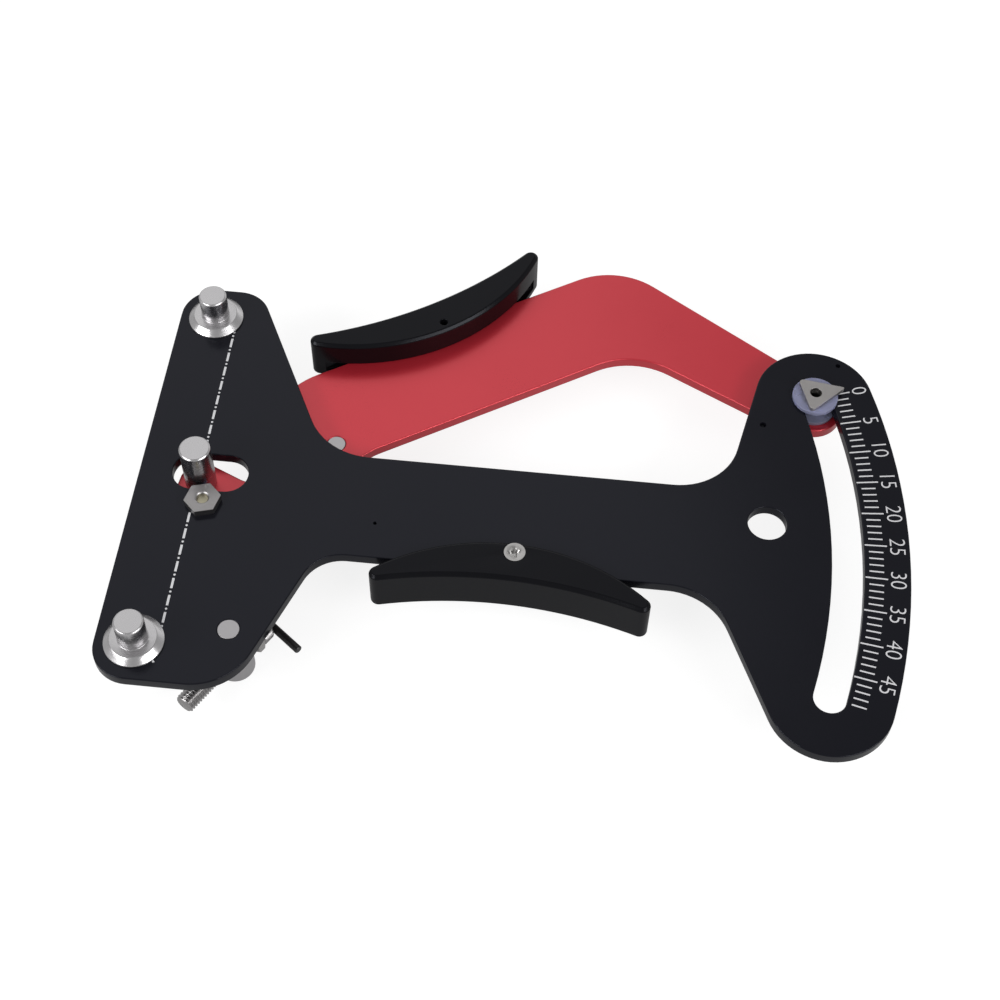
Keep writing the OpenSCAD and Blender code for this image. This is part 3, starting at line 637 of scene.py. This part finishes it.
# %% [markdown]
# ### Rolled shapes: a thread and a knurled head
#
# A thread is a cylinder whose radius depends on the height and the angle together: it rises
# and falls once for each pitch, and one turn round shifts it by one pitch. A straight knurl
# is simpler, since its radius depends on the angle alone. Both are a flat grid that is
# rolled up. Its two end rows are drawn in to the axis, which closes the ends, and near them
# the radius may not exceed a cone, which makes the chamfers. A profile swept along a helix
# would make a thread as well, but its two ends would hang open in the air.

# %% What both rolled shapes share
def limited(wire, low, high):
    """The wire's value, kept between two others."""
    return wire.math("MINIMUM", wire.math("MAXIMUM", wire, low), high)

def flat_grid(entry, around, along):
    """A unit grid, its two coordinates from 0 to 1, and the height of each of its rows."""
    grid = entry["Length"].node("GeometryNodeMeshGrid", None, {"Size X": 1.0, "Size Y": 1.0,
        "Vertices X": around, "Vertices Y": along})
    flat = grid.node("GeometryNodeInputPosition")
    u = flat.node("ShaderNodeSeparateXYZ", None, {0: flat}, output="X") + 0.5
    v = flat.node("ShaderNodeSeparateXYZ", None, {0: flat}, output="Y") + 0.5
    row = 1.0 / (along - 1)
    height = entry["Length"] * limited((v - row) / (1.0 - 2.0 * row), 0.0, 1.0)
    on_side = v.math("GREATER_THAN", v, 0.5 * row) * v.math("LESS_THAN", v, 1.0 - 0.5 * row)
    return grid, u, height, on_side

def rolled_up(grid, u, radius, height):
    """The flat grid bent round the axis, with its seam and its two ends closed."""
    angle = u * (2 * math.pi)
    bent = angle.node("ShaderNodeCombineXYZ", None, {"X": radius * angle.math("COSINE", angle),
        "Y": radius * angle.math("SINE", angle), "Z": height})
    rolled = grid.node("GeometryNodeSetPosition", None, {"Geometry": grid, "Position": bent})
    return rolled.node("GeometryNodeMergeByDistance", None,
        {"Geometry": rolled, "Distance": 1e-6})

def chamfered(entry, height, ridge):
    """The ridge, but near both ends no farther out than a 45 degree cone."""
    to_end = height.math("MINIMUM", height, entry["Length"] - height)
    return ridge.math("MINIMUM", ridge, entry["Radius"] - entry["Chamfer"] + to_end)

# %% Thread tree
thread_tree, entry = new_tree("screw_thread", {"Length": "Float", "Radius": "Float",
    "Pitch": "Float", "Depth": "Float", "Chamfer": "Float", "Around": "Int", "Along": "Int",
    "Finish": "Material"})
grid, u, height, on_side = flat_grid(entry, entry["Around"], entry["Along"])
wave = height.math("PINGPONG", 2.0 * (height / entry["Pitch"] - u) + 200.0, 1.0)
ridge = entry["Radius"] - entry["Depth"] * limited(wave * 1.35 - 0.12, 0.0, 1.0)
side = on_side * chamfered(entry, height, ridge)
close_tree(rolled_up(grid, u, side, height), entry["Finish"])
print("thread tree:", len(thread_tree.nodes), "nodes")

# %% Knurl tree
knurl_tree, entry = new_tree("knurled_head", {"Length": "Float", "Radius": "Float",
    "Ridges": "Int", "Depth": "Float", "Chamfer": "Float", "Along": "Int", "Finish": "Material"})
grid, u, height, on_side = flat_grid(entry, entry["Ridges"] * 6.0 + 1.0, entry["Along"])
wave = u.math("PINGPONG", 2.0 * u * entry["Ridges"], 1.0)
ridge = entry["Radius"] - entry["Depth"] * limited(wave * 1.5 - 0.25, 0.0, 1.0)
side = on_side * chamfered(entry, height, ridge)
close_tree(rolled_up(grid, u, side, height), entry["Finish"])
print("knurl tree:", len(knurl_tree.nodes), "nodes")

# %% [markdown]
# ### The calibration screw
#
# The two trees make the thread and the head upright at the origin. The screw lies level, so
# the meshes themselves are turned and moved to its place, and the object stays at the
# origin. The thread runs from the chamfered tail to the head, and the head bears on the
# spring's leg. The socket for the key is cut last, into the head's face.

# %% Where the calibration screw lies
ANCHOR = Vector((16.6, -44.4))
SCREW_DIRECTION = math.radians(59)
TAIL, REACH, HEAD = 17.5, 10.308, 3.308

low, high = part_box("calibration_screw")
along_screw = Vector((math.cos(SCREW_DIRECTION), math.sin(SCREW_DIRECTION), 0))

def on_screw(distance):
    """A frame on the screw's axis, with Z along it, so far from the anchor post's axis."""
    spot = mm(ANCHOR.x, ANCHOR.y, 0) + along_screw * distance * MM
    spot.z = (low.z + high.z) / 2
    return Matrix.Translation(spot) @ along_screw.to_track_quat("Z", "Y").to_matrix().to_4x4()

# %% Shank and head
ROWS_PER_MM = 9
OVERLAP = 0.3

shank_length = TAIL + REACH - HEAD
shank = run_tree("shank", thread_tree, {
    "Length": (shank_length + OVERLAP) * MM, "Radius": 2.5 * MM, "Pitch": 0.8 * MM,
    "Depth": 0.44 * MM, "Chamfer": 0.42 * MM, "Around": 49,
    "Along": int(shank_length * ROWS_PER_MM), "Finish": thread_steel})
shank.data.transform(on_screw(-TAIL))
head = run_tree("calibration_screw_finished", knurl_tree, {"Length": HEAD * MM,
    "Radius": 4.1 * MM, "Ridges": 36, "Depth": 0.26 * MM, "Chamfer": 0.4 * MM, "Along": 22,
    "Finish": thread_steel})
head.data.transform(on_screw(REACH - HEAD))

# %% Key socket, and the two made one
def hexagon_cutter(name, place, across_flats, depth):
    """A hexagonal prism that reaches so deep below the place, and as far above it."""
    corner = across_flats / math.sqrt(3) * MM
    shape = bmesh.new()
    bmesh.ops.create_cone(shape, cap_ends=True, segments=6, depth=2 * depth * MM,
        radius1=corner, radius2=corner)
    mesh = bpy.data.meshes.new(name)
    shape.to_mesh(mesh)
    shape.free()
    mesh.transform(place)
    return new_piece(name, mesh)

carve(head, hexagon_cutter("key_socket", on_screw(REACH), 4.0, 1.8))
whole = bmesh.new()
for part in (head, shank):
    whole.from_mesh(part.data)
whole.to_mesh(head.data)
whole.free()
bpy.data.objects.remove(shank)
smooth(head.data, 50)
stand_for(head, "calibration_screw")

# %% [markdown]
# ### The printed scale
#
# Fifty lines stand on an arc about the pivot, and every fifth is longer. The tree puts a
# point for each line on the arc, and an instance of a thin block on each point, turned to
# its angle. The ink is a film a few hundredths of a millimetre thick, so the marks are real
# shapes on the plate. They could be painted by a shader from the same angles, but a mark that
# is a shape keeps its sharp edge at any distance.

# %% Tree of the scale lines
PIVOT = Vector((3.6, -9.2))
FILM = 0.03
ZERO_ANGLE, LINE_STEP = 18.27, 0.659

scale_tree, entry = new_tree("scale_lines", {"Count": "Int", "First Angle": "Float",
    "Step": "Float", "Middle Radius": "Float", "Short": "Float", "Long": "Float",
    "Line Width": "Float", "Film": "Float", "Centre": "Vector", "Finish": "Material"})
number = entry["Count"].node("GeometryNodeInputIndex")
angle = entry["First Angle"] - entry["Step"] * number
is_long = 1.0 - number.math("MINIMUM", number % 5.0, 1.0)
length = entry["Short"] + is_long * (entry["Long"] - entry["Short"])
radial = angle.node("ShaderNodeCombineXYZ", None, {
    "X": entry["Middle Radius"] * angle.math("COSINE", angle),
    "Y": entry["Middle Radius"] * angle.math("SINE", angle)})
spot = radial.node("ShaderNodeVectorMath", {"operation": "ADD"}, {0: radial, 1: entry["Centre"]})
points = spot.node("GeometryNodePoints", None, {"Count": entry["Count"], "Position": spot})
block = points.node("GeometryNodeMeshCube", None, {"Size": (1, 1, 1)})
euler = angle.node("ShaderNodeCombineXYZ", None, {"Z": angle})
turned = euler.node("FunctionNodeEulerToRotation", None, {0: euler})
stretch = length.node("ShaderNodeCombineXYZ", None,
    {"X": length, "Y": entry["Line Width"], "Z": entry["Film"]})
lines = points.node("GeometryNodeInstanceOnPoints", None,
    {"Points": points, "Instance": block, "Rotation": turned, "Scale": stretch})
close_tree(lines, entry["Finish"])

# %% Scale lines
ink_height = plate_top + FILM / 2
scale_lines = run_tree("scale_lines", scale_tree, {"Count": 50,
    "First Angle": math.radians(ZERO_ANGLE), "Step": math.radians(LINE_STEP),
    "Middle Radius": 165.07 * MM, "Short": 3.5 * MM, "Long": 5.4 * MM,
    "Line Width": 0.38 * MM, "Film": FILM * MM,
    "Centre": mm(PIVOT.x, PIVOT.y, ink_height), "Finish": ink})
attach(scale_lines, "body")
print("scale lines:", len(scale_lines.data.polygons), "faces")

# %% [markdown]
# ### The centre line
#
# A chain line runs from post to post and shows where the spoke should lie. It is a dot and
# a long dash, over and over, with the window and the pivot between its two parts. Its tree
# puts the dots on one row of points and the dashes on another, half a step lower. An Array
# modifier could repeat one pair, but the two rows here may end on a dot or on a dash.

# %% Tree of the centre line
line_tree, entry = new_tree("chain_line", {"Dots": "Int", "Dashes": "Int", "Step": "Float",
    "Dash": "Float", "Line Width": "Float", "Film": "Float", "Start": "Vector",
    "Finish": "Material"})
number = entry["Step"].node("GeometryNodeInputIndex")
parts = []
for shift, kind in [(0.0, "Dots"), (0.5, "Dashes")]:
    offset = number.node("ShaderNodeCombineXYZ", None,
        {"Y": 0.0 - entry["Step"] * (number + shift)})
    spot = offset.node("ShaderNodeVectorMath", {"operation": "ADD"},
        {0: offset, 1: entry["Start"]})
    points = spot.node("GeometryNodePoints", None, {"Count": entry[kind], "Position": spot})
    if kind == "Dashes":
        size = entry["Dash"].node("ShaderNodeCombineXYZ", None,
            {"X": entry["Line Width"], "Y": entry["Dash"], "Z": entry["Film"]})
        mark = size.node("GeometryNodeMeshCube", None, {"Size": size})
    else:
        mark = number.node("GeometryNodeMeshCylinder", None, {"Vertices": 12,
            "Radius": entry["Line Width"] * 0.5, "Depth": entry["Film"]})
    parts.append(mark.node("GeometryNodeInstanceOnPoints", None,
        {"Points": points, "Instance": mark}))
both = parts[0].node("GeometryNodeJoinGeometry", None, {0: parts})
close_tree(both, entry["Finish"])

# %% Centre line
CHAIN_STEP = 4.8

for name, first, dots in [("centre_line_upper", 49.15, 9), ("centre_line_lower", -11.65, 10)]:
    chain = run_tree(name, line_tree, {"Dots": dots, "Dashes": 9, "Step": CHAIN_STEP * MM,
        "Dash": 2.9 * MM, "Line Width": 0.58 * MM, "Film": FILM * MM,
        "Start": mm(0.98, first, ink_height), "Finish": ink})
    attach(chain, "body")
    print(name, dots, "dots, the last at", round(first - CHAIN_STEP * (dots - 1), 2), "mm")

# %% [markdown]
# ### The numbers
#
# The numbers beside the long lines are text, turned so that their feet point to the pivot.
# The real ones have thin, narrow strokes, so the font's outline is drawn in a little and its
# width reduced. Text is made a mesh first, and then its mesh is put in place, so the object
# stays at the origin like all the others.

# %% One number as a mesh
STROKE_THINNING = -0.014

def printed_number(value, angle, radius, height, narrowing):
    """A number on the scale, this far from the pivot and at this angle about it."""
    text = bpy.data.curves.new(f"number_{value}", "FONT")
    text.body = str(value)
    text.align_x, text.align_y = "CENTER", "CENTER"
    text.extrude = FILM * MM / 2
    text.offset = STROKE_THINNING
    source = bpy.data.objects.new(text.name, text)
    bpy.context.scene.collection.objects.link(source)
    mesh = finished_mesh(source)
    bpy.data.objects.remove(source)
    xs = [v.co.x for v in mesh.vertices]
    ys = [v.co.y for v in mesh.vertices]
    middle = Vector(((min(xs) + max(xs)) / 2, (min(ys) + max(ys)) / 2, 0))
    mesh.transform(Matrix.Translation(-middle))
    scale = height * MM / (max(ys) - min(ys))
    fit = Matrix.Diagonal((scale * narrowing, scale, 1, 1))
    spin = Matrix.Rotation(angle - math.pi / 2, 4, "Z")
    spot = PIVOT + radius * Vector((math.cos(angle), math.sin(angle)))
    mesh.transform(Matrix.Translation(mm(spot.x, spot.y, ink_height)) @ spin @ fit)
    return mesh

# %% Scale numbers
numbers = bmesh.new()
for value in range(0, 50, 5):
    angle = math.radians(ZERO_ANGLE - LINE_STEP * value)
    numbers.from_mesh(printed_number(value, angle, 170.35, 3.8, 0.93))
number_mesh = bpy.data.meshes.new("scale_numbers")
numbers.to_mesh(number_mesh)
numbers.free()
scale_numbers = new_piece("scale_numbers", number_mesh, ink)
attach(scale_numbers, "body")
print("numbers:", len(number_mesh.polygons), "faces")

# %% [markdown]
# ## The torsion spring
#
# The CAD part of the spring has six flat sides, enough for a check of its space. The real
# one is round wire, so it is swept again here along the same path: a straight leg that the
# lever's post holds, the coil going down, and a straight leg against the calibration screw.
# Each point of the path gets a ring of vertices square to it.

# %% The spring's path
WIRE = 1.0
COIL = 7.4
TURN_STEPS = 80
TOP_Z, BOTTOM_Z = -11.4, -15.662
LEVER_LEG, LEVER_LEG_LENGTH = 22.068, 40.654
BODY_LEG, BODY_LEG_LENGTH = -38.5, 41.8
COIL_START, COIL_SWEEP = 112.068, 479.432

def on_coil(t):
    """A point of the coil, from its top end at 0 to its bottom end at 1."""
    a = math.radians(COIL_START + COIL_SWEEP * t)
    return Vector((PIVOT.x + COIL * math.cos(a), PIVOT.y + COIL * math.sin(a),
        TOP_Z + (BOTTOM_Z - TOP_Z) * t))

def heading(degrees):
    """A level direction, counted from the scale's side round to the upper post."""
    return Vector((math.cos(math.radians(degrees)), math.sin(math.radians(degrees)), 0))

coil = [on_coil(i / TURN_STEPS) for i in range(TURN_STEPS + 1)]
shares = [0.06, 0.25, 0.5, 0.75, 1]
lever_leg, body_leg = heading(LEVER_LEG) * LEVER_LEG_LENGTH, heading(BODY_LEG) * BODY_LEG_LENGTH
leg_in = [coil[0] + lever_leg * share for share in reversed(shares)]
leg_out = [coil[-1] + body_leg * share for share in shares]
path = leg_in + coil + leg_out
print("spring's path:", len(path), "points")

# %% Round wire along a path
END_CHAMFER, END_SIZE = 0.15, 0.85

def swept_wire(name, path, radius, sides=20):
    """A round wire with closed, slightly chamfered ends, and UVs across and along it."""
    ends = [(path[0], path[1]), (path[-1], path[-2])]
    trims = [end + (inner - end).normalized() * END_CHAMFER for end, inner in ends]
    stations = [(path[0], END_SIZE), (trims[0], 1), *[(p, 1) for p in path[1:-1]],
        (trims[1], 1), (path[-1], END_SIZE)]
    shape = bmesh.new()
    layer = shape.loops.layers.uv.new("along")
    rings, run = [], [0.0]
    for i, (p, size) in enumerate(stations):
        before = stations[max(i - 1, 0)][0]
        after = stations[min(i + 1, len(stations) - 1)][0]
        along = (after - before).normalized()
        side = Vector((-along.y, along.x, 0)).normalized()
        over = along.cross(side)
        rings.append([
            shape.verts.new(mm(*(p + radius * size * (math.cos(a) * side + math.sin(a) * over))))
            for a in (2 * math.pi * k / sides for k in range(sides))
        ])
        if i:
            run.append(run[-1] + (p - stations[i - 1][0]).length)
    for i, (low, high) in enumerate(zip(rings, rings[1:])):
        for k in range(sides):
            n = (k + 1) % sides
            face = shape.faces.new([low[k], low[n], high[n], high[k]])
            corners = [(k, i), (k + 1, i), (k + 1, i + 1), (k, i + 1)]
            for loop, (across, station) in zip(face.loops, corners):
                loop[layer].uv = (across / sides, run[station] / 100)
    for ring in (rings[0], rings[-1]):
        shape.faces.new(ring)
    bmesh.ops.recalc_face_normals(shape, faces=shape.faces)
    mesh = bpy.data.meshes.new(name)
    shape.to_mesh(mesh)
    shape.free()
    smooth(mesh, 40)
    return mesh, run[-1]

wire_mesh, wire_length = swept_wire("torsion_spring_finished", path, WIRE)
spring = new_piece("torsion_spring_finished", wire_mesh, spring_wire)
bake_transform(spring)
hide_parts("torsion_spring")
print("spring wire:", round(wire_length, 1), "mm long,", len(wire_mesh.polygons), "faces")

# %% [markdown]
# ## The parts that stay as they were drawn
#
# The washers and the sleeve are simple rings, punched or cut from a rod. Three of them are
# hidden between other parts, and their shape is right as it is, so they only get their
# finish. The two big washers show, so they get a copy with broken edges.

# %% Washers and sleeve
for node in ("pivot_washer", "thrust_washer", "pointer_sleeve"):
    nodes[node].data.materials.clear()
    nodes[node].data.materials.append(nylon)
for node in ("pointer_washer_upper", "pointer_washer_lower"):
    dressed(node, 0.12, nylon)
print("left as drawn:", [n for n, o in nodes.items() if not o.hide_render])

# %% [markdown]
# ## Floor and light
#
# The floor is a pale plane just under the tool. Stronger lamps could make it white, but they
# would bleach the tool as well. Instead the paper also glows, for the camera's rays and, less,
# in reflections. That brings it up to white and leaves the shadow, so the lamps can stay at
# the level that suits the tool. The sky is a white sweep near the horizon and a dimmer ceiling
# above it. In reflections the sweep is white only behind the tool, which keeps the sides of
# the plates dark and gives the steel its dark bands.
#
# Two soft boxes stand left and right of the camera: they make the pairs of bright patches on
# the cones of the posts, with a darker band between. A wide, weak one hangs behind the tool
# where the camera's view is mirrored by anything flat, and gives the plates their sheen. A
# lamp's power is set from the radiance that it should have, because that is what shows in a
# reflection.

# %% Floor
FLOOR_HALF, FLOOR_GAP = 6.0, 0.0004

floor_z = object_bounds()[0].z - FLOOR_GAP
floor_corners = [(FLOOR_HALF * i, FLOOR_HALF * j, floor_z)
    for i, j in [(-1, -1), (1, -1), (1, 1), (-1, 1)]]
floor_mesh = bpy.data.meshes.new("floor")
floor_mesh.from_pydata(floor_corners, [], [(0, 1, 2, 3)])
floor = new_piece("floor", floor_mesh)
floor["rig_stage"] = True
print("floor at", round(floor_z / MM, 2), "mm")

# %% Paper
PAPER, PAPER_GLOW, GLOW_IN_GLOSS = (0.30, 0.30, 0.30, 1), 0.84, 0.35

def looked_at_by(start, gloss_share):
    """1 for the camera's rays and glass, less for reflections, and 0 for the light itself."""
    eye = start.node("ShaderNodeLightPath", output="Is Camera Ray")
    gloss = start.node("ShaderNodeLightPath", output="Is Glossy Ray")
    glass = start.node("ShaderNodeLightPath", output="Is Transmission Ray")
    return start.math("MAXIMUM", eye, start.math("MAXIMUM", gloss * gloss_share, glass))

paper = bpy.data.materials.new("white_paper")
paper.use_nodes = True
start = Wire(paper.node_tree)
matte = start.node("ShaderNodeBsdfDiffuse", None, {"Color": PAPER})
glow = start.node("ShaderNodeEmission", None, {"Color": (1, 1, 1, 1),
    "Strength": PAPER_GLOW * looked_at_by(start, GLOW_IN_GLOSS)})
sum_of_both = start.node("ShaderNodeAddShader", None, {0: matte, 1: glow})
paper.node_tree.links.new(sum_of_both.socket, paper.node_tree.nodes["Material Output"].inputs[0])
floor_mesh.materials.append(paper)
print("paper:", len(paper.node_tree.nodes), "nodes")

# %% Lights
def soft_box(name, azimuth, elevation, distance, width, height, radiance):
    """A lamp so far round from the camera's side, in degrees to the right, and so high up."""
    a, e = math.radians(azimuth), math.radians(elevation)
    way = Vector((math.sin(a) * math.cos(e), -math.cos(a) * math.cos(e), math.sin(e)))
    lamp = bpy.data.lights.new(name, "AREA")
    lamp.shape = "RECTANGLE"
    lamp.size, lamp.size_y = width, height
    lamp.energy = radiance * math.pi * width * height
    holder = bpy.data.objects.new(name, lamp)
    bpy.context.scene.collection.objects.link(holder)
    holder.location = mm(75, 0, 0) + distance * way
    holder.rotation_euler = (-way).to_track_quat("-Z", "Y").to_euler()
    print(f"{name}: {lamp.energy:.2f} W")
    return holder

soft_box("left_box", -55, 33, 1.0, 0.75, 0.25, 7.2)
soft_box("right_box", 55, 33, 1.0, 0.75, 0.25, 6.4)
soft_box("back_box", -152, 50, 1.2, 1.0, 0.80, 0.45)

# %% Sky
CEILING, HORIZON = 0.38, 1.0

world = bpy.data.worlds.new("studio")
bpy.context.scene.world = world
world.use_nodes = True
sky = Wire(world.node_tree)
gaze = sky.node("ShaderNodeTexCoord", output="Generated")
upward = gaze.node("ShaderNodeSeparateXYZ", None, {0: gaze}, output="Z")
away = gaze.node("ShaderNodeSeparateXYZ", None, {0: gaze}, output="Y")
sweep = 1.0 - limited((upward - 0.2) * 4.0, 0.0, 1.0)
behind = limited(away * 3.2 - 1.6, 0.15, 1.0)
strength = CEILING + (HORIZON - CEILING) * (sweep * looked_at_by(sky, behind))
backdrop = world.node_tree.nodes["Background"]
backdrop.inputs["Color"].default_value = (1, 1, 1, 1)
world.node_tree.links.new(strength.socket, backdrop.inputs["Strength"])
print("sky:", len(world.node_tree.nodes), "nodes")

# %% [markdown]
# ## The growth of the finished pieces
#
# The finished pieces must not outgrow the solid parts they stand for. Both boxes are
# measured, and how far each corner moved is printed in millimetres.

# %% Measure the two boxes
finished_box = [list(corner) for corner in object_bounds()]
growth = [round(1000 * (b - a), 3) for a, b in zip(sum(cad_box, []), sum(finished_box, []))]
print("growth in mm:", growth)
